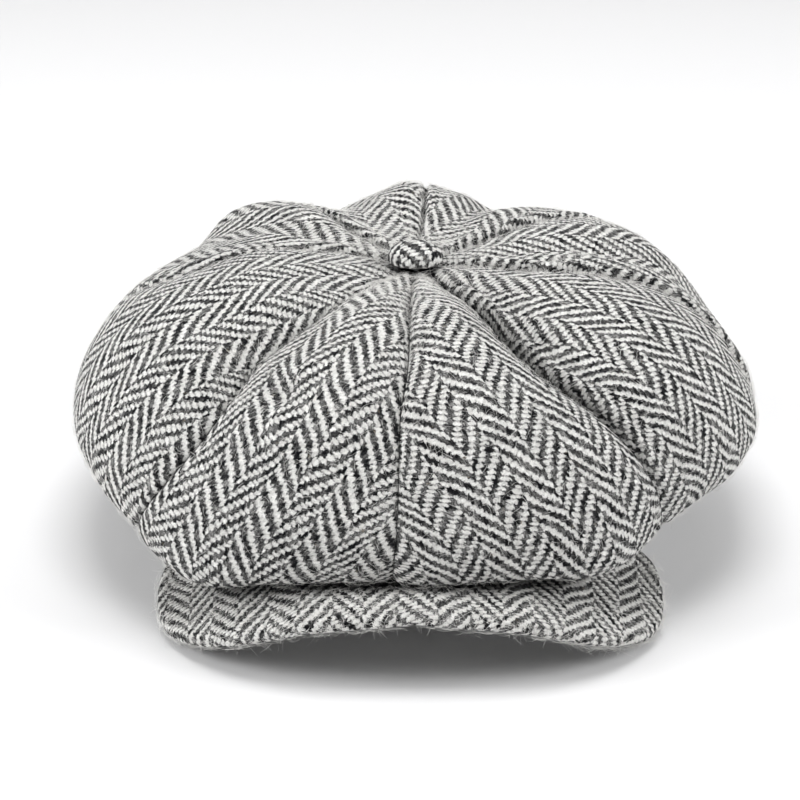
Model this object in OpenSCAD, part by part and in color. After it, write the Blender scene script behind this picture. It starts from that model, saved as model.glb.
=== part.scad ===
// Newsboy cap: eight-panel tweed crown, lined, on a headband, with a short curved peak and a covered button.
// Frame: millimetres, +Z up, peak towards -Y. The origin is the centre of the head opening on the rim plane.

/* [Head opening] */
// Inside half width of the sweatband
head_x = 83.5; // [79:0.5:88]
// Inside half depth of the sweatband
head_y = 100.5; // [96:0.5:106]
// Height of the headband
band_h = 34; // [30:0.5:36]
// Rise of the rim at the front, where the peak lifts it
rim_rise = 20; // [12:0.5:22]

/* [Crown] */
// Half width of the crown
crown_x = 140; // [130:0.5:145]
// Reach of the crown to the front
crown_front = 139; // [134:0.5:143]
// Reach of the crown to the back
crown_back = 143; // [132:0.5:150]
// Height of the crown around the button
crown_z = 110; // [100:0.5:118]
// Depth of the valleys between the puffed panels
puff = 7; // [3:0.5:8]
// Thickness of the tweed
cloth = 2.2; // [1.6:0.1:2.6]
// Thickness of the lining cloth
lining = 0.7; // [0.5:0.1:1]
// Room between the tweed and the lining
loft = 3.2; // [2.8:0.1:4]

/* [Peak] */
// Thickness of the peak board
board = 1.8; // [1.2:0.1:2]
// Thickness of each peak cover
cover = 1.8; // [1.4:0.1:2]

/* [Button] */
// Radius of the covered button
button_r = 11; // [8:0.5:12]
// Height of the covered button
button_h = 7; // [5:0.5:8]

/* [View] */
// Which piece to build: all, or the name of one piece

/* [Hidden] */
// Wall positions of the three bands, as offsets from the head opening
sweat_t = 0.9;
inter_t = 1.0;
gap = 0.3;
inter_at = sweat_t + gap;
band_at = inter_at + inter_t + gap;
band_out = band_at + cloth;
bx = head_x + band_out;
by = head_y + band_out;
tweed = "#8f8e8b";
satin = "#26272b";

// Crown profile from the button (0) down to the hem (1)
T_K = [0, 0.12, 0.28, 0.42, 0.54, 0.64, 0.74, 0.83, 0.91, 1];
R_K = [0.04, 0.22, 0.48, 0.70, 0.85, 0.95, 1, 0.975, 0.87, (bx + 0.4) / crown_x];
F_K = [0.04, 0.22, 0.48, 0.70, 0.85, 0.95, 1, 0.99, 0.92, (by + 0.4) / crown_front];
B_K = [0.04, 0.22, 0.48, 0.70, 0.85, 0.95, 1, 0.975, 0.88, (by + 0.4) / crown_back];
Z_K = [
  crown_z, crown_z + 1, crown_z + 1, crown_z - 7, crown_z - 20, crown_z - 38,
  crown_z - 57, band_h + 4.5, band_h - 3, band_h + 1.2
];

// How far the overhang hangs down over the peak's corners, by angle from the front
SAG_A = [0, 15, 30, 36, 45, 55, 65, 75, 180];
SAG_Z = [1.5, 4.5, 9.5, 10.5, 8.5, 3.5, 0, 0, 0];
SAG_T = [0, 0, 0, 0, 0, 0.1, 0.4, 1, 0.5, 0];
// Where the overhang's underside is lifted to clear the peak's middle
LIFT_T = [0, 0, 0, 0, 0, 0, 0, 0.25, 1, 0];

// Cubic curve through the points K, V at t
function seg(K, t) = max([for (j = [0:len(K) - 2]) t >= K[j] ? j : 0]);
function slope(K, V, i) =
  let (a = max(i - 1, 0), b = min(i + 1, len(K) - 1)) (V[b] - V[a]) / (K[b] - K[a]);
function curve(K, V, t) =
  let (
    i = seg(K, t), h = K[i + 1] - K[i], u = (t - K[i]) / h, v = 1 - u,
    m0 = slope(K, V, i), m1 = slope(K, V, i + 1)
  )
  (1 + 2 * u) * v * v * V[i] + u * v * v * h * m0 + u * u * (3 - 2 * u) * V[i + 1] - u * u * v * h * m1;

// Height of the rim over the table; the front arches up to the peak
function rim(y) = rim_rise * pow(max(0, (35 - y) / 140), 1.5);

// The crown before puffing, at angle a from the front towards +X
function base(a, t) =
  let (
    f = max(0, cos(a)), x = crown_x * curve(T_K, R_K, t),
    y = cos(a) > 0 ? crown_front * curve(T_K, F_K, t) : crown_back * curve(T_K, B_K, t),
    sag = curve(SAG_A, SAG_Z, abs(a > 180 ? a - 360 : a)) * curve(T_K, SAG_T, t),
    lift = 4.75 * pow(f, 4) * curve(T_K, LIFT_T, t)
  )
  [x * sin(a), -y * cos(a), curve(T_K, Z_K, t) - sag + lift];
function unit(v) = v / norm(v);
function back(P) = [for (i = [len(P) - 1:-1:0]) P[i]];
function base_normal(a, t) =
  let (
    e = 0.004, t0 = max(0, t - e), t1 = min(1, t + e),
    da = base(a + 0.5, t) - base(a - 0.5, t), dt = base(a, t1) - base(a, t0)
  )
  unit(cross(dt, da));
// A point of the crown, offset along the normal; amount is the puff height
function skin(a, t, amount, off) =
  let (
    s = abs(sin(4 * a)), hump = pow(s, 0.75) - 0.5, env = pow(sin(180 * max(0.001, min(0.999, t))), 0.7)
  )
  base(a, t) + base_normal(a, t) * (amount * hump * env + off);

// One gore between the angles a0 and a1: a closed shell of nu by nv cells
module gore(a0, a1, amount, out, thick, nu, nv, t0, t1, slit) {
  U = [for (i = [0:nu]) (1 - cos(180 * i / nu)) / 2 * 0.45 + i / nu * 0.55];
  top = [
    for (j = [0:nv]) let (t = t0 + (t1 - t0) * j / nv, r = max(6, norm([base(a0, t)[0], base(a0, t)[1]])))
      let (w = slit / r * 57.3) [for (u = U) skin(a0 + w + (a1 - a0 - 2 * w) * u, t, amount, out)]
  ];
  low = [
    for (j = [0:nv]) let (t = t0 + (t1 - t0) * j / nv, r = max(6, norm([base(a0, t)[0], base(a0, t)[1]])))
      let (w = slit / r * 57.3) [for (u = U) skin(a0 + w + (a1 - a0 - 2 * w) * u, t, amount, out - thick)]
  ];
  slab(top, low);
}
// A closed solid between two equal grids of points, top seen from outside
module slab(top, low) {
  n = len(top[0]);
  m = len(top);
  k = n * m;
  points = concat([for (r = top) each r], [for (r = low) each r]);
  faces = concat(
    [for (j = [0:m - 2], i = [0:n - 2]) [j * n + i, j * n + i + 1, (j + 1) * n + i]],
    [for (j = [0:m - 2], i = [0:n - 2]) [j * n + i + 1, (j + 1) * n + i + 1, (j + 1) * n + i]],
    [for (j = [0:m - 2], i = [0:n - 2]) [k + j * n + i + 1, k + j * n + i, k + (j + 1) * n + i]],
    [for (j = [0:m - 2], i = [0:n - 2]) [k + j * n + i + 1, k + (j + 1) * n + i, k + (j + 1) * n + i + 1]],
    [for (i = [0:n - 2]) each [[i + 1, i, k + i], [i + 1, k + i, k + i + 1]]],
    [for (i = [0:n - 2]) let (q = (m - 1) * n + i) each [[q, q + 1, k + q], [q + 1, k + q + 1, k + q]]],
    [for (j = [0:m - 2]) let (q = j * n, p = (j + 1) * n) each [[q, p, k + q], [p, k + p, k + q]]],
    [for (j = [0:m - 2]) let (q = j * n + n - 1, p = q + n) each [[p, q, k + q], [p, k + q, k + p]]]
  );
  polyhedron(points, faces, convexity = 6);
}
module crown_gore(i) {
  color(tweed) gore(45 * i, 45 * i + 45, puff, 0, cloth, 10, 22, 0.01, 1, 0.2);
}
module lining_gore(i) {
  in = -(puff * 0.5 + cloth + loft - 1);
  color(satin) gore(45 * i, 45 * i + 45, 2, in, lining, 6, 14, 0.03, 0.9, 0.2);
}

// Bands round the head, cut along the arched rim
function oval(a, b, n = 96) = [for (i = [0:n - 1]) [a * cos(360 * i / n), b * sin(360 * i / n)]];
module band(o0, o1, z0, z1, hem) {
  difference() {
    translate([0, 0, z0]) linear_extrude(z1 - z0) difference() {
      polygon(oval(head_x + o1, head_y + o1));
      polygon(oval(head_x + o0, head_y + o0));
    }
    rotate([90, 0, 90]) translate([0, 0, -120]) linear_extrude(240) polygon(concat(
      [for (i = [0:14]) let (y = 35 - 12 * i) [y, rim(y) + hem]], [[-133, -5], [35, -5]]
    ));
  }
}
module headband() { color(tweed) band(band_at, band_out, 0, band_h, 0); }
module headband_interlining() { color("#d8d4c6") band(inter_at, inter_at + inter_t, 1.5, band_h - 2, 1.5); }
module sweatband() { color("#1d1e21") band(0, sweat_t, 1, band_h - 1, 1); }

// Peak: a crescent, arched from side to side, swept from the tips through the centre
half = board / 2 + 0.2 + cover;
S_K = [0, 0.25, 0.45, 0.62, 0.75, 0.86, 0.94, 1];
PX = [0, 36.5, 62, 80, 90, 94, 93, 86];
PY = [-152, -149.5, -141, -127, -112, -93, -76, -60];
PZ = [29, 24.5, 15.4, 7.6, 4.6, 6, 10, 13];
function mirror_curve(V, s) = curve(S_K, V, abs(s));
function outer_edge(s) = [sign(s) * mirror_curve(PX, s), mirror_curve(PY, s), mirror_curve(PZ, s)];
function inner_edge(s) =
  let (a = 62 * s, room = 1 + 1.2 * s * s, y = -(by + room) * cos(a)) [(bx + room) * sin(a), y, rim(y) + half + 0.6];
function sheet(s, w) =
  let (crown_of = (1 - pow(abs(s), 3)) * 3.2 * sin(180 * min(1, w)))
  inner_edge(s) * (1 - w) + outer_edge(s) * w + [0, 0, crown_of];
function sheet_normal(s, w) =
  let (e = 0.01, s0 = max(-1, s - e), s1 = min(1, s + e), w1 = min(1, w + 0.05), w0 = max(0, w - 0.05))
  unit(cross(sheet(s1, w) - sheet(s0, w), sheet(s, w0) - sheet(s, w1)));
// A point at w across the peak, then e millimetres past the edge, then o millimetres along the normal
function peak_at(s, p) =
  let (w = p[0], e = p[1], o = p[2], n = sheet_normal(s, w), d = unit(sheet(s, 1) - sheet(s, 0.92)))
  sheet(s, w) + n * o + d * e;
module peak_layer(profile, cells) {
  n = len(profile);
  points = [for (j = [0:cells]) each [for (p = profile) peak_at(-1 + 2 * j / cells, p)]];
  faces = concat(
    [for (j = [0:cells - 1], i = [0:n - 1]) let (q = j * n + i, r = j * n + (i + 1) % n) [q, r, q + n]],
    [for (j = [0:cells - 1], i = [0:n - 1]) let (q = j * n + i, r = j * n + (i + 1) % n) [r, r + n, q + n]],
    [[for (i = [n - 1:-1:0]) i]],
    [[for (i = [0:n - 1]) cells * n + i]]
  );
  polyhedron(points, faces, convexity = 8);
}
rows = [for (i = [0:5]) i / 6];
turn = [for (a = [90:-30:-90]) a];
lip = 5 / 6;
module peak_top_cover() {
  i0 = board / 2 + 0.2;
  color(tweed) peak_layer(concat(
    [for (w = rows) [w, 0, half]],
    [for (a = turn) [1, half * cos(a), half * sin(a)]],
    [[lip, 0, -half], [lip, 0, -i0]],
    [for (a = back(turn)) [1, i0 * cos(a), i0 * sin(a)]],
    [for (w = back(rows)) [w, 0, i0]]
  ), 36);
}
module peak_under_cover() {
  i0 = board / 2 + 0.2;
  to = concat([for (i = [0:4]) i / 6], [lip - 0.015]);
  color(tweed) peak_layer(concat(
    [for (w = to) [w, 0, -i0]], [for (w = back(to)) [w, 0, -half]]
  ), 36);
}
module peak_board() {
  to = concat(rows, [0.96]);
  color("#6f6a60") peak_layer(concat(
    [for (w = to) [w, 0, board / 2]], [for (w = back(to)) [w, 0, -board / 2]]
  ), 36);
}

// Button on top: a domed metal shell covered in tweed, closed by a back plate with a shank
button_z = crown_z + 1.6;
function dome(r, h, n = 10) = [for (i = [0:n]) [r * sin(90 * i / n), h * pow(cos(90 * i / n), 0.8)]];
module button_cover() {
  inner = dome(button_r - 1.3, button_h - 1.3);
  color(tweed) translate([0, 0, button_z]) rotate_extrude($fn = 64) polygon(concat(
    dome(button_r, button_h), [[button_r - 0.4, -0.6], [button_r - 3.5, -0.6], [button_r - 3.5, 0]], back(inner)
  ));
}
module button_shell() {
  outer = [for (p = dome(button_r - 1.5, button_h - 1.5)) [p[0], p[1] + 0.15]];
  inner = [for (p = dome(button_r - 2, button_h - 2)) [p[0], p[1] + 0.15]];
  color("#b9bcc0") translate([0, 0, button_z]) rotate_extrude($fn = 64) polygon(concat(outer, back(inner)));
}
module button_back() {
  color("#b9bcc0") translate([0, 0, button_z]) {
    rotate_extrude($fn = 64) polygon([[0, 0.2], [button_r - 2.3, 0.2], [button_r - 2.3, 0.8], [0, 0.8]]);
    translate([0, 0, -2.4]) rotate([90, 0, 0]) rotate_extrude($fn = 32) translate([2, 0]) circle(0.6, $fn = 16);
    translate([0, 0, -0.6]) cylinder(r = 0.9, h = 1, $fn = 24);
  }
}
module button_thread() {
  color("#202020") translate([0, 0, button_z - 12.6]) {
    cylinder(r = 0.7, h = 7.4, $fn = 24);
    sphere(r = 1.8, $fn = 24);
  }
}

crown_gore(0);  // crown_panel_front_right
crown_gore(1);  // crown_panel_side_front_right
crown_gore(2);  // crown_panel_side_back_right
crown_gore(3);  // crown_panel_back_right
crown_gore(4);  // crown_panel_back_left
crown_gore(5);  // crown_panel_side_back_left
crown_gore(6);  // crown_panel_side_front_left
crown_gore(7);  // crown_panel_front_left
lining_gore(0);  // lining_panel_front_right
lining_gore(1);  // lining_panel_side_front_right
lining_gore(2);  // lining_panel_side_back_right
lining_gore(3);  // lining_panel_back_right
lining_gore(4);  // lining_panel_back_left
lining_gore(5);  // lining_panel_side_back_left
lining_gore(6);  // lining_panel_side_front_left
lining_gore(7);  // lining_panel_front_left
headband();
headband_interlining();
sweatband();
peak_top_cover();
peak_under_cover();
peak_board();
button_cover();
button_shell();
button_back();
button_thread();
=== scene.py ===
import math
import bpy
import numpy as np
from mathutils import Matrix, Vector


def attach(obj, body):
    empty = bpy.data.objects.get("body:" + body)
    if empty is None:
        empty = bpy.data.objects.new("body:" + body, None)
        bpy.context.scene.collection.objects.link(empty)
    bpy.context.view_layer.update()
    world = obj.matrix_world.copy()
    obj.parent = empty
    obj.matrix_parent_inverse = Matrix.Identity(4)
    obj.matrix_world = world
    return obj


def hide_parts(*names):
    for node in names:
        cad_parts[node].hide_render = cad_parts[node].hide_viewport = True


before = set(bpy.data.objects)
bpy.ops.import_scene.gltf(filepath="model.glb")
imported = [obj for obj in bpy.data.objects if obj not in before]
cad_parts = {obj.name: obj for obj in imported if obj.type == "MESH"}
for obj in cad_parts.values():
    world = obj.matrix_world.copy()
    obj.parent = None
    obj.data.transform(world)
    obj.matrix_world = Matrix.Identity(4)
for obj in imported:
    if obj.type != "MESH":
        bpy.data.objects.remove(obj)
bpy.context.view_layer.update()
MM = 0.001

# ------------------------------------------------------------------ sizes, in millimetres
CROWN_X, CROWN_FRONT, CROWN_BACK, CROWN_Z = 140.0, 139.0, 143.0, 110.0
BAND_H = 34.0
HEAD_X, HEAD_Y = 83.5, 100.5
BAND_IN, BAND_OUT = 2.5, 4.7
BX, BY = HEAD_X + BAND_OUT, HEAD_Y + BAND_OUT
RIM_RISE = 20.0
CLOTH = 2.2
SEAM_GAP = 0.12             # between the edges of two panels
CELL, PICK = 1.56, 1.86     # spacing of the tweed's ends and picks
BUTTON_Z, BUTTON_R, BUTTON_H = 111.6, 11.0, 7.0


# ------------------------------------------------------------------ small maths
def curve(K, V, t):
    """Cubic curve through the points K, V, the same one as the CAD source uses."""
    K, V = np.asarray(K, float), np.asarray(V, float)
    n = len(K)
    a, b = np.maximum(np.arange(n) - 1, 0), np.minimum(np.arange(n) + 1, n - 1)
    m = (V[b] - V[a]) / (K[b] - K[a])
    i = np.clip(np.searchsorted(K, t, side="right") - 1, 0, n - 2)
    h = K[i + 1] - K[i]
    u = (t - K[i]) / h
    v = 1 - u
    near = (1 + 2 * u) * v * v * V[i] + u * v * v * h * m[i]
    return near + u * u * (3 - 2 * u) * V[i + 1] - u * u * v * h * m[i + 1]


def smooth(x, lo=0.0, hi=1.0):
    """0 below lo, 1 above hi, and a soft step between them."""
    x = np.clip((x - lo) / (hi - lo), 0, 1)
    return x * x * (3 - 2 * x)


def unit(v):
    return v / np.maximum(1e-9, np.linalg.norm(v, axis=-1, keepdims=True))


def hash3(i, j, k, seed):
    """A fixed value from -1 to 1 for each cell of a grid."""
    h = (i * 374761393 + j * 668265263 + k * 2147483647 + seed * 974711) & 0xFFFFFFFF
    h = ((h ^ (h >> 13)) * 1274126177) & 0xFFFFFFFF
    return ((h ^ (h >> 16)) & 0xFFFF) / 65535.0 * 2 - 1


def noise(P, scale, seed=0):
    """Smooth value noise from -1 to 1 at the points P, with features of the size scale."""
    q = P / scale
    f = np.floor(q).astype(np.int64)
    w = q - f
    w = w * w * (3 - 2 * w)
    out = 0
    for c in range(8):
        o = np.array([c & 1, (c >> 1) & 1, (c >> 2) & 1])
        g = f + o
        k = np.prod(np.where(o, w, 1 - w), axis=-1)
        out = out + k * hash3(g[..., 0], g[..., 1], g[..., 2], seed)
    return out


# ------------------------------------------------------------------ the crown's surface
# Profile from the button (0) down to the hem (1): share of the width, the front, the back, and the height
T_K = [0, 0.12, 0.28, 0.42, 0.54, 0.64, 0.74, 0.83, 0.91, 1]
R_K = [0.04, 0.22, 0.48, 0.70, 0.85, 0.95, 1, 0.975, 0.87, (BX + 0.4) / CROWN_X]
F_K = [0.04, 0.22, 0.48, 0.70, 0.85, 0.95, 1, 0.99, 0.92, (BY + 0.4) / CROWN_FRONT]
B_K = [0.04, 0.22, 0.48, 0.70, 0.85, 0.95, 1, 0.975, 0.88, (BY + 0.4) / CROWN_BACK]
Z_K = [
    CROWN_Z, CROWN_Z + 1, CROWN_Z + 1, CROWN_Z - 7, CROWN_Z - 20, CROWN_Z - 38,
    CROWN_Z - 57, BAND_H + 4.5, BAND_H - 3, BAND_H + 1.2,
]
# How far the overhang hangs down over the peak's corners: by angle from the front, and down the crown
SAG_A = [0, 15, 30, 36, 45, 55, 65, 75, 180]
SAG_Z = [1.5, 4.5, 9.5, 10.5, 8.5, 3.5, 0, 0, 0]
SAG_T = [0, 0, 0, 0, 0, 0.1, 0.4, 1, 0.5, 0]
# Where the overhang's underside is lifted to clear the peak's middle, and how far
LIFT_T = [0, 0, 0, 0, 0, 0, 0, 0.25, 1, 0]
FRONT_LIFT = 5.8


def base(a, t):
    """The crown before it is puffed, at angle a from the front towards +X and at t down the profile."""
    r = np.radians(a)
    c = np.cos(r)
    f = np.maximum(0, c)
    x = CROWN_X * curve(T_K, R_K, t)
    y = np.where(c > 0, CROWN_FRONT * curve(T_K, F_K, t), CROWN_BACK * curve(T_K, B_K, t))
    away = np.abs((np.asarray(a) + 180) % 360 - 180)
    sag = curve(SAG_A, SAG_Z, away) * curve(T_K, SAG_T, t)
    z = curve(T_K, Z_K, t) - sag + FRONT_LIFT * f ** 4 * curve(T_K, LIFT_T, t)
    return np.stack([x * np.sin(r), -y * c, z], -1)


def base_normal(a, t):
    da = base(a + 0.5, t) - base(a - 0.5, t)
    dt = base(a, np.minimum(1, t + 0.004)) - base(a, np.maximum(0, t - 0.004))
    return unit(np.cross(dt, da))


# SEAM_ANGLE, TOP_A with TOP_H, and LOW_A with LOW_H are readings that a separate measuring script took from
# the reference picture, rounded and completed by hand. They are measured data and not a design.

# Each seam's angle from the front, in degrees, and how deep its valley is, in millimetres, down the crown
S_T = [0, 0.2, 0.3, 0.4, 0.5, 0.6, 0.7, 0.8, 0.9, 1]
SEAM_ANGLE = [
    [-3, -3, -2, -2, -3, -3, -3, -3.5, -4, -4],
    [31, 32, 31, 31.5, 34.5, 38.5, 42.5, 46, 47, 47],
    [88, 83, 83, 86, 86, 86, 87, 89, 90, 90],
    [138, 133, 132, 132, 133, 134, 135, 135, 135, 135],
    [177, 176, 176.5, 177, 177, 178, 180, 180, 180, 180],
    [214, 214.5, 213, 214, 218, 222, 224, 225, 225, 225],
    [244, 250, 262, 267, 265, 265, 267, 269, 270, 270],
    [318, 324, 322, 318.5, 320, 320, 316.5, 310.5, 306, 306],
]
SEAM_DEPTH = [
    [1, 2, 2, 2.5, 3, 3, 3, 3, 2, 0],
    [2, 9, 12.5, 12, 9, 5.2, 2.4, 1.2, 0.8, 0],
    [1, 2, 2, 2, 2, 2, 2, 2, 2, 0],
    [1, 2, 2, 1, 1, 1, 2, 2, 2, 0],
    [1, 1, 0, 0, 0, 1, 2, 2, 2, 0],
    [1, 2, 2, 1, 1, 1, 2, 2, 2, 0],
    [1, 2, 2, 2, 2, 2, 2, 2, 2, 0],
    [2, 3, 5, 8, 8.5, 5, 2, 1, 1, 0],
]
# How quickly each valley's sides level out: higher is narrower
SEAM_SPREAD = [1.6, 2.9, 1.6, 1.6, 1.6, 1.6, 1.6, 1.9]
# Height of the puff in the middle of each panel
PUFF = [
    [0, 2.5, 4, 4.5, 4.5, 4, 3.5, 3, 1.5, 0],
    [0, 2.5, 4.5, 5, 5, 4, 3, 2, 1, 0],
    [0, 2, 3, 3, 2, 1.5, 1.5, 1.5, 1, 0],
    [0, 1.5, 1, 0, 0, 1, 2, 2, 1, 0],
    [0, 1.5, 1, 0, 0, 1, 2, 2, 1, 0],
    [0, 2, 3, 2, 1.5, 1.5, 1.5, 1.5, 1, 0],
    [0, 2.5, 4.5, 4.5, 4, 3, 2, 1.5, 1, 0],
    [0, 2.5, 4, 4.5, 4.5, 4.5, 4, 3, 1.5, 0],
]
# Slow rises and dips round the crown, in millimetres: over the top and shoulder, and at the overhang
TOP_A = [
    0, 84, 96, 101, 114, 129, 144, 151, 158, 168, 176, 182,
    188, 200, 208, 216, 226, 235, 242, 250, 256, 262, 270, 360,
]
TOP_H = [
    0, 0, -1, -5, 1, 3, 2.1, -1, -4.2, 2.9, 5, 6.7,
    3.3, -3.3, -0.3, 4.1, 5.2, -1.9, -2.8, -1.5, -0.8, 0.9, 0, 0,
]
LOW_A = [0, 18, 30, 44, 54, 62, 69, 77, 84, 100, 180, 270, 284, 293, 300, 307, 313, 324, 335, 347, 357, 360]
LOW_H = [4, 0, -2.5, -7.3, -7.6, -6, -5.7, -4, -1.5, 0, 0, 0, -3, -2.6, -1, 0, 3, 4.5, 0.5, 1.5, 4, 4]
# Single rises and dips: angle, place down the crown, their widths, and height
SPOTS = [
    (333, 0.49, 5, 0.045, -4.8),
    (329, 0.36, 8, 0.09, -2.2),
    (39, 0.34, 5, 0.16, 1.8),
    (103, 0.59, 9, 0.09, -7),
    (262, 0.57, 6, 0.06, -1.5),
    (118, 0.54, 6, 0.06, -1.5),
    (229, 0.55, 10, 0.07, -5),
]
# Side of each seam that its allowance is pressed to: +1 the panel after it, -1 the panel before it
RIB_SIDE = [1, 1, 1, 1, -1, -1, -1, -1]
# How high that band stands, in millimetres
RIB_H = [0.5, 3.0, 2.2, 1.4, 0.8, 1.4, 1.2, 0.3]
# How far the cloth turns in at each seam's stitching, down the crown
SEAM_TUCK = [
    [1, 1.4, 1.3, 1.0, 0.8, 0.7, 0.7, 0.8, 0.9, 1],
    [2, 5.5, 6.5, 6, 3.6, 1.3, 0.9, 0.8, 0.8, 0.8],
    [2, 3.5, 3.6, 3.4, 3, 2.4, 2, 1.4, 1.2, 1],
    [2, 3, 3, 2.4, 1.8, 1.4, 1.4, 1.4, 1.2, 1],
    [1, 1.6, 1.8, 1.6, 1.4, 1.4, 1.4, 1.4, 1.2, 1],
    [2, 2.6, 2.6, 2.2, 1.8, 1.4, 1.4, 1.4, 1.2, 1],
    [1, 0.8, 0.8, 0.8, 1, 1.6, 1.8, 1.4, 1.2, 1],
    [1, 1.2, 1, 0.9, 0.9, 0.9, 0.9, 0.9, 1, 1],
]
# How wide that turn is, in millimetres
TUCK_WIDTH = [1.5, 2.3, 1.7, 1.7, 1.1, 1.5, 1.7, 1.0]


def panel_point(k, u, t, off=0.0):
    """Points of panel k; u from 0 to 1 between its two seams, t from the button to the hem."""
    after = (k + 1) % 8
    a0 = curve(S_T, SEAM_ANGLE[k], t)
    a1 = curve(S_T, SEAM_ANGLE[after], t) + (360 if k == 7 else 0)
    a = a0 + (a1 - a0) * u
    P = base(a, t)
    N = base_normal(a, t)
    r = np.hypot(P[..., 0], P[..., 1])
    width = np.radians(a1 - a0) * r
    d0, d1 = u * width, (1 - u) * width
    depth0 = curve(S_T, SEAM_DEPTH[k], t)
    depth1 = curve(S_T, SEAM_DEPTH[after], t)
    mid = curve(S_T, PUFF[k], t)
    near0, near1 = (1 - u) ** SEAM_SPREAD[k], u ** SEAM_SPREAD[after]
    h = mid * np.sin(np.pi * u) ** 0.8 - depth0 * near0 - depth1 * near1
    b = a % 360
    h = h + curve(TOP_A, TOP_H, b) * smooth(t, 0.08, 0.38) * (1 - smooth(t, 0.47, 0.68))
    h = h + curve(LOW_A, LOW_H, b) * smooth(t, 0.6, 0.85) * (1 - smooth(t, 0.9, 1.0))
    for angle, place, wide, tall, height in SPOTS:
        h = h + height * np.exp(-(((b - angle) / wide) ** 2) - ((t - place) / tall) ** 2)
    # the deep part of a valley, narrower than the panel
    h = h - 0.35 * depth0 * np.exp(-((d0 / 9) ** 2)) - 0.35 * depth1 * np.exp(-((d1 / 9) ** 2))
    # seam allowances pressed to one side, and the cloth turning into the seam
    fade = smooth(t, 0.02, 0.12) * (1 - smooth(t, 0.58, 0.8))
    if RIB_SIDE[k] > 0:
        h = h + fade * RIB_H[k] * smooth(d0, 0.3, 2.2) * (1 - smooth(d0, 4.0, 7.5))
    if RIB_SIDE[after] < 0:
        h = h + fade * RIB_H[after] * smooth(d1, 0.3, 2.2) * (1 - smooth(d1, 4.0, 7.5))
    tuck0, tuck1 = curve(S_T, SEAM_TUCK[k], t), curve(S_T, SEAM_TUCK[after], t)
    pinch = tuck0 * np.exp(-((d0 / TUCK_WIDTH[k]) ** 2))
    pinch = pinch + tuck1 * np.exp(-((d1 / TUCK_WIDTH[after]) ** 2))
    h = h - pinch * smooth(t, 0.0, 0.06)
    # soft unevenness of the cloth, and puckers along the seams
    quiet = smooth(t, 0.03, 0.2) * (1 - smooth(t, 0.9, 1.0))
    h = h + quiet * (1.6 * noise(P, 42, 5) + 0.7 * noise(P, 19, 9))
    pucker = np.exp(-np.minimum(d0, d1) / 9) * smooth(np.minimum(d0, d1), 0.0, 2.5)
    h = h + quiet * 0.55 * pucker * noise(P, 6.5, 11 + k)
    return P + N * (h + off)[..., None], width


def grid_faces(m, n, base_index=0, flip=False):
    """Quads of an m by n grid of points stored row by row."""
    j, i = np.meshgrid(np.arange(m - 1), np.arange(n - 1), indexing="ij")
    q = (base_index + j * n + i).ravel()
    f = np.stack([q, q + 1, q + n + 1, q + n], -1)
    return f[:, ::-1] if flip else f


def tube_faces(m, n):
    """Quads of m rings of n points each, closed round every ring."""
    j, i = np.meshgrid(np.arange(m - 1), np.arange(n), indexing="ij")
    a, b, i1 = j * n, (j + 1) * n, (i + 1) % n
    return np.stack([a + i, a + i1, b + i1, b + i], -1).reshape(-1, 4)


def make_mesh(name, verts_mm, faces, uv, mat):
    """A mesh object from points in millimetres, faces of three or four corners, and one UV per point."""
    me = bpy.data.meshes.new(name)
    V = np.asarray(verts_mm, float) * MM
    me.from_pydata(V.tolist(), [], [list(map(int, f)) for f in faces])
    layer = me.uv_layers.new(name="UVMap")
    idx = np.empty(len(me.loops), np.int32)
    me.loops.foreach_get("vertex_index", idx)
    layer.data.foreach_set("uv", np.asarray(uv, np.float32)[idx].ravel())
    me.polygons.foreach_set("use_smooth", np.ones(len(me.polygons), bool))
    me.update()
    ob = bpy.data.objects.new(name, me)
    bpy.context.scene.collection.objects.link(ob)
    me.materials.append(mat)
    return ob


def closed_shell(name, outer, inner, uv, mat):
    """A closed piece of cloth between two equal grids of points."""
    m, n = outer.shape[:2]
    k = m * n
    faces = [grid_faces(m, n), grid_faces(m, n, k, True)]
    j = np.arange(m - 1)
    i = np.arange(n - 1)
    a, b = j * n, (j + 1) * n
    faces.append(np.stack([b, a, a + k, b + k][::-1], -1)[:, ::-1])
    c, d = j * n + n - 1, (j + 1) * n + n - 1
    faces.append(np.stack([c, d, d + k, c + k], -1)[:, ::-1])
    faces.append(np.stack([i, i + 1, i + 1 + k, i + k], -1)[:, ::-1])
    e = (m - 1) * n + i
    faces.append(np.stack([e + 1, e, e + k, e + 1 + k], -1)[:, ::-1])
    V = np.concatenate([outer.reshape(-1, 3), inner.reshape(-1, 3)])
    W = np.concatenate([uv.reshape(-1, 2)] * 2)
    return make_mesh(name, V, np.concatenate(faces), W, mat)


def angle_of(P):
    """Angle round the crown, in degrees from the front."""
    return np.degrees(np.arctan2(P[..., 0], -P[..., 1]))


def surface_normal(P):
    """Normals of a grid of points, outwards for a crown panel."""
    du = np.gradient(P, axis=1)
    dt = np.gradient(P, axis=0)
    return unit(np.cross(dt, du))


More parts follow.
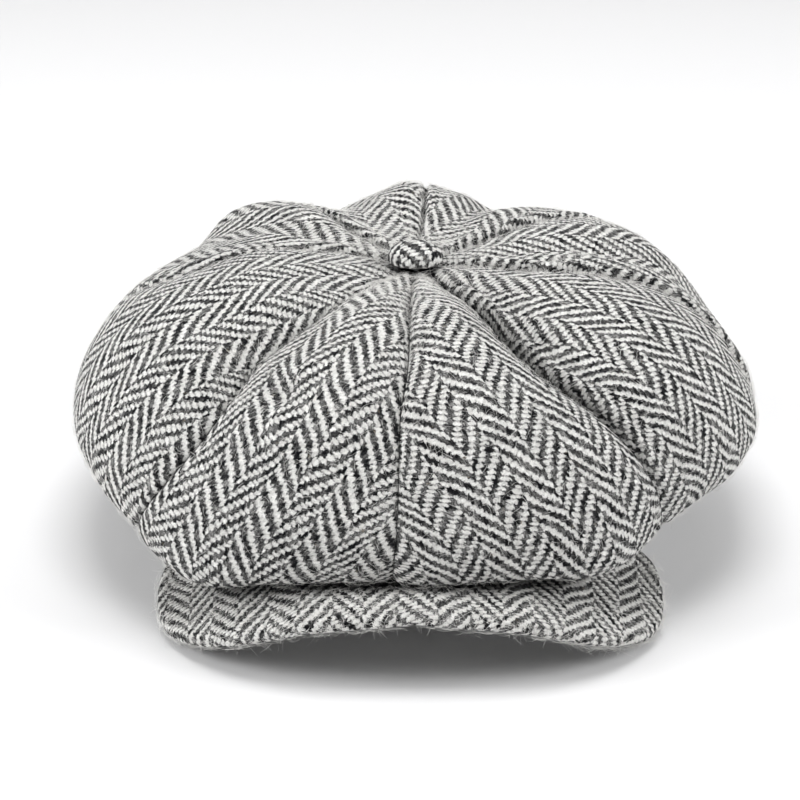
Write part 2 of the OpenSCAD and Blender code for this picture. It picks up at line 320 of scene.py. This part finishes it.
# ------------------------------------------------------------------ materials
class Nodes:
    """Short names for building a material's node tree."""

    def __init__(self, name):
        self.mat = bpy.data.materials.new(name)
        self.mat.use_nodes = True
        self.t = self.mat.node_tree
        self.bsdf = self.t.nodes["Principled BSDF"]

    def put(self, socket, value):
        if isinstance(value, bpy.types.NodeSocket):
            self.t.links.new(value, socket)
        elif value is not None:
            socket.default_value = value

    def m(self, op, a, b=None):
        n = self.t.nodes.new("ShaderNodeMath")
        n.operation = op
        for s, v in zip(n.inputs, (a, b)):
            self.put(s, v)
        return n.outputs[0]

    def vec(self, x, y, z=0.0):
        n = self.t.nodes.new("ShaderNodeCombineXYZ")
        for s, v in zip(n.inputs, (x, y, z)):
            self.put(s, v)
        return n.outputs[0]

    def split(self, v):
        n = self.t.nodes.new("ShaderNodeSeparateXYZ")
        self.put(n.inputs[0], v)
        return n.outputs

    def noise(self, vector, scale, detail=2.0, rough=0.5, out="Fac"):
        n = self.t.nodes.new("ShaderNodeTexNoise")
        self.put(n.inputs["Vector"], vector)
        n.inputs["Scale"].default_value = scale
        n.inputs["Detail"].default_value = detail
        n.inputs["Roughness"].default_value = rough
        return n.outputs[out]

    def random(self, w):
        n = self.t.nodes.new("ShaderNodeTexWhiteNoise")
        n.noise_dimensions = "1D"
        self.put(n.inputs["W"], w)
        return n.outputs["Value"]

    def mix(self, f, a, b):
        n = self.t.nodes.new("ShaderNodeMix")
        n.data_type = "RGBA"
        self.put(n.inputs[0], f)
        for s, v in ((n.inputs[6], a), (n.inputs[7], b)):
            self.put(s, (*v, 1.0) if isinstance(v, tuple) else v)
        return n.outputs[2]

    def blend(self, f, a, b):
        """a where f is 0, b where f is 1."""
        return self.m("ADD", self.m("MULTIPLY", self.m("SUBTRACT", 1.0, f), a), self.m("MULTIPLY", f, b))

    def step(self, x, lo, hi):
        n = self.t.nodes.new("ShaderNodeMapRange")
        n.interpolation_type = "SMOOTHSTEP"
        self.put(n.inputs["Value"], x)
        n.inputs["From Min"].default_value = lo
        n.inputs["From Max"].default_value = hi
        return n.outputs["Result"]

    def uv(self):
        n = self.t.nodes.new("ShaderNodeUVMap")
        n.uv_map = "UVMap"
        return n.outputs[0]

    def coord(self):
        return self.t.nodes.new("ShaderNodeTexCoord").outputs["Object"]

    def shelter(self, distance):
        """How open a point of the surface is: 1 in the open, 0 deep in a fold; the tweed uses it to paint
        shade into folds.
        """
        n = self.t.nodes.new("ShaderNodeAmbientOcclusion")
        n.samples = 6
        n.inputs["Distance"].default_value = distance
        return n.outputs["AO"]

    def bump(self, height, distance, strength=1.0):
        n = self.t.nodes.new("ShaderNodeBump")
        n.inputs["Strength"].default_value = strength
        n.inputs["Distance"].default_value = distance
        self.put(n.inputs["Height"], height)
        self.put(self.bsdf.inputs["Normal"], n.outputs[0])

    def finish(self, color, rough, sheen=0.0, sheen_rough=0.5, specular=0.3, metallic=0.0):
        self.put(self.bsdf.inputs["Base Color"], (*color, 1.0) if isinstance(color, tuple) else color)
        self.put(self.bsdf.inputs["Roughness"], rough)
        self.bsdf.inputs["Metallic"].default_value = metallic
        self.bsdf.inputs["Specular IOR Level"].default_value = specular
        self.bsdf.inputs["Sheen Weight"].default_value = sheen
        self.bsdf.inputs["Sheen Roughness"].default_value = sheen_rough
        return self.mat


def tweed_material():
    """Herringbone: a 2/2 twill of light ends on dark picks that turns back every eight ends."""
    g = Nodes("tweed")
    uv = g.uv()
    wob = g.split(g.noise(uv, 0.55, 2.0, 0.6, "Color"))
    slow = g.split(g.noise(uv, 0.08, 1.0, 0.5, "Color"))
    rag = g.split(g.noise(uv, 2.9, 2.0, 0.65, "Color"))
    s = g.split(uv)

    def shifted(k):
        near = g.m("MULTIPLY", g.m("SUBTRACT", wob[k], 0.5), 1.5)
        far = g.m("MULTIPLY", g.m("SUBTRACT", slow[k], 0.5), 3.6)
        frayed = g.m("MULTIPLY", g.m("SUBTRACT", rag[k], 0.5), 1.15)
        return g.m("ADD", s[k], g.m("ADD", frayed, g.m("ADD", near, far)))

    U, V = shifted(0), shifted(1)
    i, j = g.m("FLOOR", U), g.m("FLOOR", V)
    fu, fv = g.m("SUBTRACT", U, i), g.m("SUBTRACT", V, j)
    c = g.m("FLOORED_MODULO", i, 16.0)
    up = g.m("LESS_THAN", c, 7.5)
    z = g.blend(up, g.m("SUBTRACT", 17.0, c), c)
    M = g.m("FLOORED_MODULO", g.m("ADD", z, j), 4.0)
    warp = g.m("LESS_THAN", M, 1.5)
    s_warp = g.m("MULTIPLY", g.m("ADD", M, fv), 0.5)
    forward = g.blend(up, g.m("SUBTRACT", 1.0, fu), fu)
    s_weft = g.m("MULTIPLY", g.m("ADD", g.m("SUBTRACT", M, 2.0), forward), 0.5)
    along = g.blend(warp, s_weft, s_warp)
    # each light float leans a little, from its twist
    from_end = g.m("ABSOLUTE", g.m("SUBTRACT", s_weft, g.m("SUBTRACT", 1.0, up)))
    lean = g.m("ADD", fv, g.m("MULTIPLY", g.m("SUBTRACT", from_end, 0.5), -0.40))
    across = g.blend(warp, lean, fu)
    edge = g.m("MINIMUM", g.m("ABSOLUTE", g.m("SUBTRACT", g.m("MULTIPLY", across, 2.0), 1.0)), 1.0)
    # each float is rounded: a little where it meets the next one of its rib, and most at its ends
    arch = g.m("POWER", g.m("SINE", g.m("MULTIPLY", along, math.pi)), 0.6)
    side = g.m("SUBTRACT", 1.0, g.m("MULTIPLY", g.m("POWER", edge, 3.0), 0.55))
    low = g.m("MULTIPLY", side, g.m("ADD", 0.32, g.m("MULTIPLY", arch, 0.68)))
    height = g.m("MULTIPLY", low, g.blend(warp, 1.0, 0.62))
    # wool fibres: along each yarn on the slant of its twist, and loose hairs lying over both
    fx, fy = g.blend(warp, V, U), g.blend(warp, U, V)
    slant = g.m("ADD", g.m("MULTIPLY", fx, 2.6), g.m("MULTIPLY", fy, 1.3))
    fibre = g.noise(g.vec(g.m("MULTIPLY", fy, 0.9), slant, warp), 1.0, 3.0, 0.7)
    hairs = None
    for n, (p, q, r, t) in enumerate(((0.3, 0.25, 2.1, -1.3), (0.35, -0.2, 1.0, 2.3), (0.1, 0.4, 2.4, 0.5))):
        down_hair = g.m("ADD", g.m("MULTIPLY", U, p), g.m("MULTIPLY", V, q))
        over_hair = g.m("ADD", g.m("MULTIPLY", U, r), g.m("MULTIPLY", V, t))
        field = g.noise(g.vec(down_hair, over_hair, 7.7 * n), 1.0, 1.0, 0.5)
        line = g.step(g.m("ABSOLUTE", g.m("SUBTRACT", field, 0.5)), 0.042, 0.0)
        hairs = line if hairs is None else g.m("MAXIMUM", hairs, line)
    fuzz = g.noise(g.vec(g.m("MULTIPLY", U, 1.7), g.m("MULTIPLY", V, 1.9), 3.3), 1.0, 3.0, 0.7)
    patch = g.noise(g.vec(U, V, 5.5), 0.5, 2.0, 0.6)
    # a random tone for each pick of each diagonal rib
    number = g.m("FLOOR", g.m("MULTIPLY", g.m("SUBTRACT", g.m("ADD", z, j), M), 0.25))
    bead = g.random(g.m("ADD", g.m("MULTIPLY", j, 0.731), g.m("MULTIPLY", number, 17.13)))
    light = g.mix(g.step(fibre, 0.25, 0.70), (0.50, 0.495, 0.48), (0.93, 0.925, 0.90))
    light = g.mix(g.m("MULTIPLY", bead, 0.25), light, (0.45, 0.44, 0.42))
    light = g.mix(g.m("MULTIPLY", g.step(fuzz, 0.46, 0.30), 0.50), light, (0.16, 0.16, 0.155))
    dark = g.mix(g.step(fibre, 0.40, 0.78), (0.002, 0.002, 0.003), (0.018, 0.018, 0.020))
    dark = g.mix(g.m("MULTIPLY", g.step(fuzz, 0.56, 0.74), 0.10), dark, (0.26, 0.255, 0.25))
    stray = g.m("MULTIPLY", hairs, g.step(patch, 0.36, 0.66))
    dark = g.mix(g.m("MULTIPLY", stray, 0.62), dark, (0.56, 0.555, 0.54))
    color = g.mix(warp, light, dark)
    # painted shade round each float, where it dips between its neighbours and most at its ends, and a few tan
    # flecks
    painted_gap_shade = g.m("MULTIPLY", g.step(low, 0.66, 0.08), g.blend(warp, 0.90, 0.93))
    color = g.mix(painted_gap_shade, color, (0.012, 0.012, 0.012))
    tan = g.noise(g.vec(g.m("MULTIPLY", U, 0.7), g.m("MULTIPLY", V, 0.9), 9.1), 1.0, 1.0)
    color = g.mix(g.m("MULTIPLY", g.step(tan, 0.735, 0.77), 0.25), color, (0.46, 0.38, 0.27))
    # painted shade deep in a fold and in creases, darker where the surface is more closed in
    color = g.mix(g.m("MULTIPLY", g.step(g.shelter(7 * MM), 0.58, 0.10), 0.90), color, (0.008, 0.008, 0.008))
    g.bump(g.m("ADD", height, g.m("MULTIPLY", g.m("ADD", fibre, fuzz), 0.34)), 0.85 * MM, 1.0)
    return g.finish(color, 0.95, sheen=0.07, sheen_rough=0.45, specular=0.03)


def satin_material():
    """Smooth black lining with a fine grain and slow slubs."""
    g = Nodes("lining_satin")
    co = g.coord()
    fine = g.noise(co, 900.0, 2.0)
    slub = g.noise(co, 60.0, 3.0)
    color = g.mix(g.step(slub, 0.3, 0.7), (0.012, 0.012, 0.014), (0.022, 0.022, 0.026))
    g.bump(fine, 0.05 * MM, 0.5)
    return g.finish(color, 0.36, sheen=0.3, sheen_rough=0.4, specular=0.5)


def cotton_material(name, dark, light, scale=1400.0):
    """A fine twill: slanted ribs in the piece's own space."""
    g = Nodes(name)
    s = g.split(g.coord())
    around = g.m("ARCTAN2", s[1], s[0])
    rib = g.m("SINE", g.m("ADD", g.m("MULTIPLY", around, 620.0), g.m("MULTIPLY", s[2], 5200.0)))
    thread = g.noise(g.coord(), scale, 2.0)
    color = g.mix(g.step(g.m("ADD", g.m("MULTIPLY", rib, 0.3), thread), 0.2, 0.9), dark, light)
    g.bump(g.m("ADD", g.m("MULTIPLY", rib, 0.4), thread), 0.12 * MM, 0.7)
    return g.finish(color, 0.85, sheen=0.15, specular=0.2)


def plain_material(name, dark, light, rough, metallic=0.0, scale=300.0, bump=0.05):
    """A hard or hairy material with a fine grain in its colour, roughness and surface."""
    g = Nodes(name)
    n = g.noise(g.coord(), scale, 4.0)
    g.bump(n, bump * MM, 0.5)
    low = g.m("ADD", rough - 0.06, g.m("MULTIPLY", n, 0.12))
    return g.finish(g.mix(g.step(n, 0.3, 0.7), dark, light), low, metallic=metallic, specular=0.4)


TWEED = tweed_material()
WOOL = plain_material("loose_wool", (0.60, 0.59, 0.57), (0.90, 0.89, 0.86), 0.9, scale=150.0)
SATIN = satin_material()
COTTON = cotton_material("sweatband_cotton", (0.010, 0.010, 0.011), (0.040, 0.040, 0.043))
BUCKRAM = cotton_material("buckram", (0.45, 0.42, 0.34), (0.66, 0.62, 0.52), 700.0)
THREAD = plain_material("thread", (0.015, 0.015, 0.015), (0.04, 0.04, 0.04), 0.7, scale=2500.0)
METAL = plain_material(
    "button_metal", (0.50, 0.50, 0.52), (0.66, 0.66, 0.68), 0.35, metallic=1.0, scale=900.0, bump=0.02
)
BOARD = plain_material("peak_board", (0.16, 0.15, 0.135), (0.24, 0.225, 0.20), 0.6, scale=500.0)

for node, mat in {
    "headband_interlining": BUCKRAM, "peak_board": BOARD, "button_shell": METAL,
    "button_back": METAL, "button_thread": THREAD,
}.items():
    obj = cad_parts[node]
    obj.data.materials.clear()
    obj.data.materials.append(mat)


# ------------------------------------------------------------------ loose wool fibres
# In millimetres: shortest and longest hair, least and most rise, radius at the root, lowest point
HAIR_LONG = (2.0, 6.0)
HAIR_RISE = (0.25, 1.2)
HAIR_R = 0.07
HAIR_LOWEST = 0.1


def fibres(P, N, along, count, seed):
    """Thin curved hairs rooted at random points of a surface: their points, side faces and end caps."""
    rng = np.random.default_rng(seed)
    pick = rng.integers(0, len(P), count)
    p, n, d = P[pick], N[pick], unit(along[pick])
    side = np.cross(n, d)
    turn_a = rng.uniform(0, 2 * np.pi, count)[:, None]
    d1 = unit(d * np.cos(turn_a) + side * np.sin(turn_a))
    length = rng.uniform(*HAIR_LONG, count)[:, None]
    lift = rng.uniform(*HAIR_RISE, count)[:, None]
    bend = rng.normal(0, 0.6, count)[:, None]
    side1 = np.cross(n, d1)
    steps = np.linspace(0, 1, 5)
    rings = []
    for q in steps:
        c = p - 0.3 * n + d1 * length * q + side1 * length * bend * q * q
        c = c + n * (0.3 + lift * np.sin(np.pi * (0.1 + 0.75 * q)))
        r = HAIR_R * (1.0 - 0.6 * q)
        for a in (0, 2.094, 4.189):     # thirds of a turn
            rings.append(c + n * (r * math.cos(a)) + side1 * (r * math.sin(a)))
    V = np.stack(rings, 1)
    V[..., 2] = np.maximum(V[..., 2], HAIR_LOWEST)
    m = len(steps)
    one = []
    for j in range(m - 1):
        for a in range(3):
            b = (a + 1) % 3
            one.append((3 * j + a, 3 * j + b, 3 * j + 3 + b, 3 * j + 3 + a))
    start = (np.arange(count) * 3 * m)[:, None, None]
    quads = np.array(one)[None] + start
    caps = np.array([[2, 1, 0], [3 * m - 3, 3 * m - 2, 3 * m - 1]])[None] + start
    return V.reshape(-1, 3), quads.reshape(-1, 4), caps.reshape(-1, 3)


def add_fibres(ob, P, N, along, count, seed):
    """Joins hairs to a piece as part of its own mesh, in a plain wool material."""
    V, quads, caps = fibres(P, N, along, count, seed)
    hair = make_mesh(ob.name + "_hairs", V, quads.tolist() + caps.tolist(), np.zeros((len(V), 2)), WOOL)
    with bpy.context.temp_override(active_object=ob, selected_editable_objects=[ob, hair]):
        bpy.ops.object.join()


# ------------------------------------------------------------------ crown and lining panels
PANELS = [
    "front_right", "side_front_right", "side_back_right", "back_right",
    "back_left", "side_back_left", "side_front_left", "front_left",
]
# Angle of each panel's herringbone columns from its middle line, in degrees
GRAIN = [-13, -3, 0, 0, 0, 0, 3, 10]
# How far down the panel that turn of the columns is centred, in millimetres
GRAIN_CENTRE = 90
NU, NV = ((72, 140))
PANEL_HAIRS = 1700
# Where the lining ends: its offset from the head opening, and how far below the top of the headband
LINING_AT, LINING_DROP = 1.65, 1.6


def panel_uv(P, k):
    """Flat position of a panel's points, in yarns: across from its middle line, and down from the button."""
    step_u = np.linalg.norm(np.diff(P, axis=1), axis=-1)
    across = np.concatenate([np.zeros((P.shape[0], 1)), np.cumsum(step_u, axis=1)], axis=1)
    mid = P.shape[1] // 2
    across = across - across[:, mid:mid + 1]
    line = P[:, mid]
    down = np.concatenate([[0], np.cumsum(np.linalg.norm(np.diff(line, axis=0), axis=-1))])
    r = np.hypot(line[:, 0], line[:, 1])
    turn = np.gradient(r, down) / np.maximum(r, 12)
    turn = np.convolve(np.pad(turn, 6, mode="edge"), np.ones(13) / 13, mode="valid")
    v = down[:, None] - 0.5 * turn[:, None] * across ** 2
    c, d = math.cos(math.radians(GRAIN[k])), math.sin(math.radians(GRAIN[k]))
    v = v - GRAIN_CENTRE
    x, y = across * c + v * d, v * c - across * d
    # each panel starts at another place in the weave
    return np.stack([(x + 4.0 * CELL) / CELL + 16 * k, y / PICK + 31 * k], -1)


def u_steps(n):
    """Steps across a panel, closer together near the seams."""
    i = np.arange(n + 1) / n
    return 0.5 * i + 0.5 * (1 - np.cos(np.pi * i)) / 2


def lining_hem(last):
    """Rows that carry a lining panel over the top of the headband and down behind the sweatband."""
    a = np.arctan2(last[:, 0], -last[:, 1])
    x, y = (HEAD_X + LINING_AT) * np.sin(a), -(HEAD_Y + LINING_AT) * np.cos(a)
    end = np.stack([x, y, np.full_like(a, BAND_H - LINING_DROP)], -1)
    w = np.linspace(0, np.pi / 2, 9)[1:, None, None]
    return last + (end - last) * np.concatenate([np.sin(w), np.sin(w), 1 - np.cos(w)], -1)


def crown_panel(k, name):
    """One gore of tweed with loose wool on it."""
    tt, uu = np.meshgrid(np.linspace(0.004, 1, NV + 1), u_steps(NU), indexing="ij")
    _, width = panel_point(k, uu, tt)
    w = np.minimum(0.2, SEAM_GAP / np.maximum(width, 0.5))
    P, _ = panel_point(k, w + (1 - 2 * w) * uu, tt)
    N = surface_normal(P)
    inner = P - 0.55 * CLOTH * (N + base_normal(angle_of(P), tt))
    ob = closed_shell("crown_" + name, P, inner, panel_uv(P, k), TWEED)
    # hairs keep off the seams, the button and the part that is tucked under
    open_part = (slice(4, -12), slice(2, -2))
    roots, normals, down = (grid[open_part].reshape(-1, 3) for grid in (P, N, np.gradient(P, axis=0)))
    add_fibres(ob, roots, normals, down, PANEL_HAIRS, 100 + k)
    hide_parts("crown_panel_" + name)
    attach(ob, "cap_body")


def lining_panel(k, name):
    """One gore of satin under the tweed, with slow slack in it, down to its hem behind the sweatband."""
    tt, uu = np.meshgrid(np.linspace(0.006, 0.97, 60), np.linspace(0.0008, 0.9992, 28), indexing="ij")
    L, _ = panel_point(k, uu, tt, -(CLOTH + 3.4))
    slack = 0.5 * noise(L, 9, 31) * np.sin(np.pi * uu)
    L = L + base_normal(angle_of(L), tt) * slack[..., None]
    L = np.concatenate([L, lining_hem(L[-1])])
    lin = closed_shell("lining_" + name, L, L - 0.6 * surface_normal(L), np.zeros(L.shape[:2] + (2,)), SATIN)
    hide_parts("lining_panel_" + name)
    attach(lin, "cap_body")


for k, name in enumerate(PANELS):
    crown_panel(k, name)
    lining_panel(k, name)


# ------------------------------------------------------------------ bands
def rim(y):
    """Height of the rim over the table; the front arches up to the peak."""
    return RIM_RISE * np.maximum(0, (35 - y) / 140) ** 1.5


def ribbon(name, o0, o1, z1, hem, mat, fold=0.0):
    """A band round the head with soft edges, its lower edge on the arched rim; fold turns that edge in."""
    n = 360
    a = np.linspace(0, 2 * np.pi, n, endpoint=False)
    r = (o1 - o0) / 2
    e = r / 2
    side = np.linspace(0, 1, 13)
    # the profile: offset from the head, share of the height, and millimetres above that
    prof = [(o1, f, 0.0) for f in side]
    prof += [(o0 + r + r * math.cos(q), 1.0, e * math.sin(q)) for q in np.linspace(0, np.pi, 7)[1:-1]]
    if fold:
        prof += [(o0, f, 0.0) for f in side[:0:-1]]
        prof += [(o0, 0.0, 1.3 - e), (o0 - fold, 0.0, 1.3 - e)]
        prof += [(o0 - fold, 0.0, 0.3 - e), (o0 - fold + 0.3, 0.0, -e)]
        prof += [(o0 + r, 0.0, -e), (o1 - 0.35, 0.0, -0.8 * e)]
    else:
        prof += [(o0, f, 0.0) for f in side[::-1]]
        prof += [(o0 + r - r * math.cos(q), 0.0, -e * math.sin(q)) for q in np.linspace(0, np.pi, 7)[1:-1]]
    y0 = -(HEAD_Y + o0 + r) * np.cos(a)
    x0 = (HEAD_X + o0 + r) * np.sin(a)
    low = rim(y0) + hem
    girth = np.cumsum(np.hypot(x0 - np.roll(x0, 1), y0 - np.roll(y0, 1)))
    P, W = [], []
    for o, f, dz in prof:
        z = low + e + (z1 - low - 2 * e) * f + dz
        P.append(np.stack([(HEAD_X + o) * np.sin(a), -(HEAD_Y + o) * np.cos(a), z], -1))
        W.append(np.stack([girth / CELL, (z + o - o1) / PICK], -1))
    m = len(prof)
    j, i = np.meshgrid(np.arange(m), np.arange(n), indexing="ij")
    j1, i1 = (j + 1) % m, (i + 1) % n
    F = np.stack([j * n + i, j * n + i1, j1 * n + i1, j1 * n + i], -1).reshape(-1, 4)
    return make_mesh(name, np.reshape(P, (-1, 3)), F, np.reshape(W, (-1, 2)), mat)


for name, o0, o1, top, hem, mat, slot, fold in (
    ("headband_cloth", BAND_IN, BAND_OUT, BAND_H, 0.0, TWEED, "tweed", 1.45),
    ("sweatband_cloth", 0.0, 0.9, BAND_H - 1, 1.0, COTTON, "sweatband_cotton", 0.0),
):
    ob = ribbon(name, o0, o1, top, hem, mat, fold)
    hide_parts(name.split("_")[0])
    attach(ob, "cap_body")

# ------------------------------------------------------------------ peak
# Half the thickness of the peak, and of the space for the board inside it
HALF, IN = 2.9, 1.1
# X, Y and Z of the outer edge, from the middle (0) to a corner (1)
S_K = [0, 0.25, 0.45, 0.62, 0.75, 0.86, 0.94, 1]
PX = [0, 36.5, 62, 80, 90, 94, 93, 86]
PY = [-152, -149.5, -141, -127, -112, -93, -76, -60]
PZ = [29, 24.5, 15.4, 7.6, 4.6, 6, 10, 13]
# How far the left end is wider than that, and the right end
WIDER_LEFT, WIDER_RIGHT = 3.2, -0.9
# Where the top cloth ends underneath, as a share of the way from the seam to the edge
LIP = 5 / 6
PEAK_CELLS = 220
PEAK_HAIRS = 2800


def outer_edge(s):
    """The peak's free edge, s from -1 at its left corner to 1 at its right one."""
    a = abs(s)
    uneven = np.where(s < 0, WIDER_LEFT, WIDER_RIGHT) * smooth(a, 0.3, 0.9)
    return np.stack([np.sign(s) * (curve(S_K, PX, a) + uneven), curve(S_K, PY, a), curve(S_K, PZ, a)], -1)


def inner_edge(s):
    """The peak's sewn edge, just outside the headband."""
    a = np.radians(62 * s)
    room = 1 + 1.2 * s * s
    y = -(BY + room) * np.cos(a)
    return np.stack([(BX + room) * np.sin(a), y, rim(y) + HALF + 0.6], -1)


def sheet(s, w):
    """The peak's middle surface, w from 0 at the sewn edge to 1 at the free edge, arched in between."""
    P = inner_edge(s) * (1 - w)[..., None] + outer_edge(s) * w[..., None]
    P[..., 2] += (1 - np.abs(s) ** 3) * 3.2 * np.sin(np.pi * np.minimum(1, w))
    return P


def sheet_normal(s, w):
    s0, s1 = np.maximum(-1, s - 0.01), np.minimum(1, s + 0.01)
    w0, w1 = np.maximum(0, w - 0.05), np.minimum(1, w + 0.05)
    return unit(np.cross(sheet(s1, w) - sheet(s0, w), sheet(s, w0) - sheet(s, w1)))


def peak_at(s, w, e, o):
    """The point at w across the peak, then e millimetres past its edge, then o along its normal."""
    d = unit(sheet(s, np.ones_like(s)) - sheet(s, np.full_like(s, 0.92)))
    return sheet(s, w) + sheet_normal(s, w) * o[..., None] + d * e[..., None]


def peak_piece(name, profile, node, bumps, hairs=0):
    """Sweeps a closed profile of (w, past the edge, along the normal, cloth run) across the peak."""
    prof = np.array(profile, float)
    s = np.linspace(-1, 1, PEAK_CELLS + 1)
    ss, pp = np.meshgrid(s, np.arange(len(prof)), indexing="ij")
    w, e, o, run = (prof[pp, c] for c in range(4))
    P = peak_at(ss, w, e, o)
    flat = sheet(ss, w)
    N = sheet_normal(ss, w)
    P = P + N * (bumps * noise(P, 14, 23) * np.sign(o))[..., None]
    edge3 = unit(sheet(ss, np.ones_like(ss)) - sheet(ss, np.full_like(ss, 0.92)))
    edge_dir = unit(edge3[..., :2])
    u = flat[..., 0] * (1 + 0.09 * (flat[..., 0] / 80) ** 2) + edge_dir[..., 0] * run
    v = flat[..., 1] + edge_dir[..., 1] * run
    W = np.stack([(u + 4 * CELL) / CELL, v / PICK], -1)
    m, n = P.shape[:2]
    faces = tube_faces(m, n).tolist() + [list(range(n))[::-1], [(m - 1) * n + x for x in range(n)]]
    ob = make_mesh(name, P.reshape(-1, 3), faces, W.reshape(-1, 2), TWEED)
    if hairs:
        own = range(25, 66)     # the outer third of the top, the edge and the lip underneath
        Q = P[4:-4, own]
        M = unit(np.cross(np.gradient(Q, axis=1), np.gradient(Q, axis=0)))
        outwards = N[4:-4, own] * np.sign(o[4:-4, own] + 0.1)[..., None] + 0.3 * edge3[4:-4, own]
        M = M * np.sign(np.sum(M * outwards, -1, keepdims=True))
        add_fibres(ob, Q.reshape(-1, 3), M.reshape(-1, 3), np.gradient(Q, axis=0).reshape(-1, 3), hairs, 7)
    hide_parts(node)
    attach(ob, "peak")


def edge_turn(r, angles):
    """The profile round the peak's edge at r millimetres from its middle surface."""
    return [(1, r * math.cos(a), r * math.sin(a), HALF * (math.pi / 2 - a)) for a in angles]


def peak_top():
    """The top cloth: over the board, round the edge, and a sixth of the way in underneath."""
    turn = np.radians(np.linspace(90, -90, 17))
    rows = np.linspace(0, 1, 40)[:-1]
    under = np.linspace(1, LIP, 8)[1:]
    prof = [(w, 0, HALF, 0) for w in rows] + edge_turn(HALF, turn)
    prof += [(w, 0, -HALF, HALF * math.pi) for w in under]
    prof += [(w, 0, -IN, HALF * math.pi) for w in under[::-1]]
    prof += edge_turn(IN, turn[::-1]) + [(w, 0, IN, 0) for w in rows[::-1]]
    peak_piece("peak_top_cloth", prof, "peak_top_cover", 0.35, PEAK_HAIRS)


def peak_under():
    """The under cloth: from the seam to the edge of the top cloth."""
    rows = np.linspace(0, LIP - 0.012, 30)
    prof = [(w, 0, -IN, 0) for w in rows] + [(w, 0, -HALF + 0.15, 0) for w in rows[::-1]]
    peak_piece("peak_under_cloth", prof, "peak_under_cover", 0.15)


peak_top()
peak_under()


# ------------------------------------------------------------------ button
def dome(r, h, angle):
    """A point of the button's profile: its radius and height."""
    return r * math.sin(angle), h * max(0, math.cos(angle)) ** 0.8


def button():
    """The button's cloth: over the dome, gathered and turned in under its edge."""
    n, rows_n = 120, 40
    a = np.linspace(0, 2 * np.pi, n, endpoint=False)
    prof = [dome(BUTTON_R, BUTTON_H, q * math.pi / 2) for q in np.linspace(0.02, 1, rows_n)]
    prof += [(BUTTON_R - 0.15, -0.35), (BUTTON_R - 0.6, -0.6), (BUTTON_R - 3.5, -0.6), (BUTTON_R - 3.5, 0.1)]
    inner = [dome(BUTTON_R - 1.3, BUTTON_H - 1.3, q) for q in np.linspace(math.pi / 2, 0.02, 14)]
    prof += [(max(0.2, r), z) for r, z in inner]
    P, W = [], []
    run = 0.0
    for j, (r, z) in enumerate(prof):
        if j:
            run += math.hypot(r - prof[j - 1][0], z - prof[j - 1][1])
        rr = np.full(n, r)
        if j < rows_n + 3:
            gather = 0.22 * smooth(np.array(r / BUTTON_R), 0.6, 1.0) * np.sin(a * 17 + 1.3 * np.sin(3 * a))
            rr = rr + gather
        P.append(np.stack([rr * np.sin(a), -rr * np.cos(a), np.full(n, BUTTON_Z + z)], -1))
        W.append(np.stack([run * np.sin(a) / CELL + 3.5, -run * np.cos(a) / PICK], -1))
    P, W = np.array(P), np.array(W)
    m = len(prof)
    faces = tube_faces(m, n)[:, [0, 3, 2, 1]].tolist()
    faces += [list(range(n)), [(m - 1) * n + x for x in range(n)][::-1]]
    ob = make_mesh("button_cloth", P.reshape(-1, 3), faces, W.reshape(-1, 2), TWEED)
    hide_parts("button_cover")
    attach(ob, "cap_body")


button()


# ------------------------------------------------------------------ floor, light, camera
def floor():
    """A pale round disc just under the cap."""
    n, r = 64, 0.92
    ring = [(r * math.cos(2 * math.pi * i / n), r * math.sin(2 * math.pi * i / n), -0.0003) for i in range(n)]
    me = bpy.data.meshes.new("floor")
    me.from_pydata(ring, [], [list(range(n))])
    ob = bpy.data.objects.new("floor", me)
    bpy.context.scene.collection.objects.link(ob)
    g = Nodes("floor_white")
    g.finish((0.74, 0.74, 0.745), 0.6, specular=0.2)
    me.materials.append(g.mat)


floor()


def area_light(name, loc, target, size, power):
    data = bpy.data.lights.new(name, "AREA")
    data.shape = "RECTANGLE"
    data.size, data.size_y = size
    data.energy = power
    ob = bpy.data.objects.new(name, data)
    ob.location = loc
    ob.rotation_euler = (Vector(target) - Vector(loc)).to_track_quat("-Z", "Y").to_euler()
    bpy.context.scene.collection.objects.link(ob)


bpy.context.scene.view_settings.view_transform = "Standard"
world = bpy.data.worlds.new("studio")
bpy.context.scene.world = world
world.use_nodes = True
nodes, links = world.node_tree.nodes, world.node_tree.links
# what is seen past the floor is white, and lights the cap only faintly
sky = nodes["Background"]
sky.inputs[0].default_value = (0.985, 0.985, 1.0, 1)
seen = nodes.new("ShaderNodeMapRange")
links.new(nodes.new("ShaderNodeLightPath").outputs["Is Camera Ray"], seen.inputs["Value"])
seen.inputs["To Min"].default_value = 0.03
seen.inputs["To Max"].default_value = 1.0
links.new(seen.outputs["Result"], sky.inputs[1])
area_light("top", (0, 0, 1.6), (0, 0, 0), (0.8, 0.8), 15.5)
area_light("back", (0, 1.0, 1.4), (0, 0, 0), (1.8, 0.8), 12)
area_light("low", (-0.6, -1.5, 0.2), (0, 0, 0.03), (1.4, 0.2), 9)
for side in (-1, 1):
    area_light("side", (side * 1.4, -0.3, 0.8), (0, 0, 0.05), (0.8, 0.8), 22.5)

# the camera: metres from the cap, and degrees above the surface
CAMERA_AWAY, CAMERA_ELEV = 1.2, 23
cam = bpy.data.cameras.new("camera")
cam.sensor_width = 36
cam.lens = 132.3
cam.clip_start, cam.clip_end = 0.05, 50
cam_ob = bpy.data.objects.new("camera", cam)
bpy.context.scene.collection.objects.link(cam_ob)
elev = math.radians(CAMERA_ELEV)
back = Vector((0, -math.cos(elev), math.sin(elev)))
up = Vector((0, math.sin(elev), math.cos(elev)))
aim = Vector((-0.0061, 0, 0.045)) + up * 0.0049
cam_ob.location = aim + back * CAMERA_AWAY
cam_ob.rotation_euler = (-back).to_track_quat("-Z", "Y").to_euler()
bpy.context.scene.camera = cam_ob
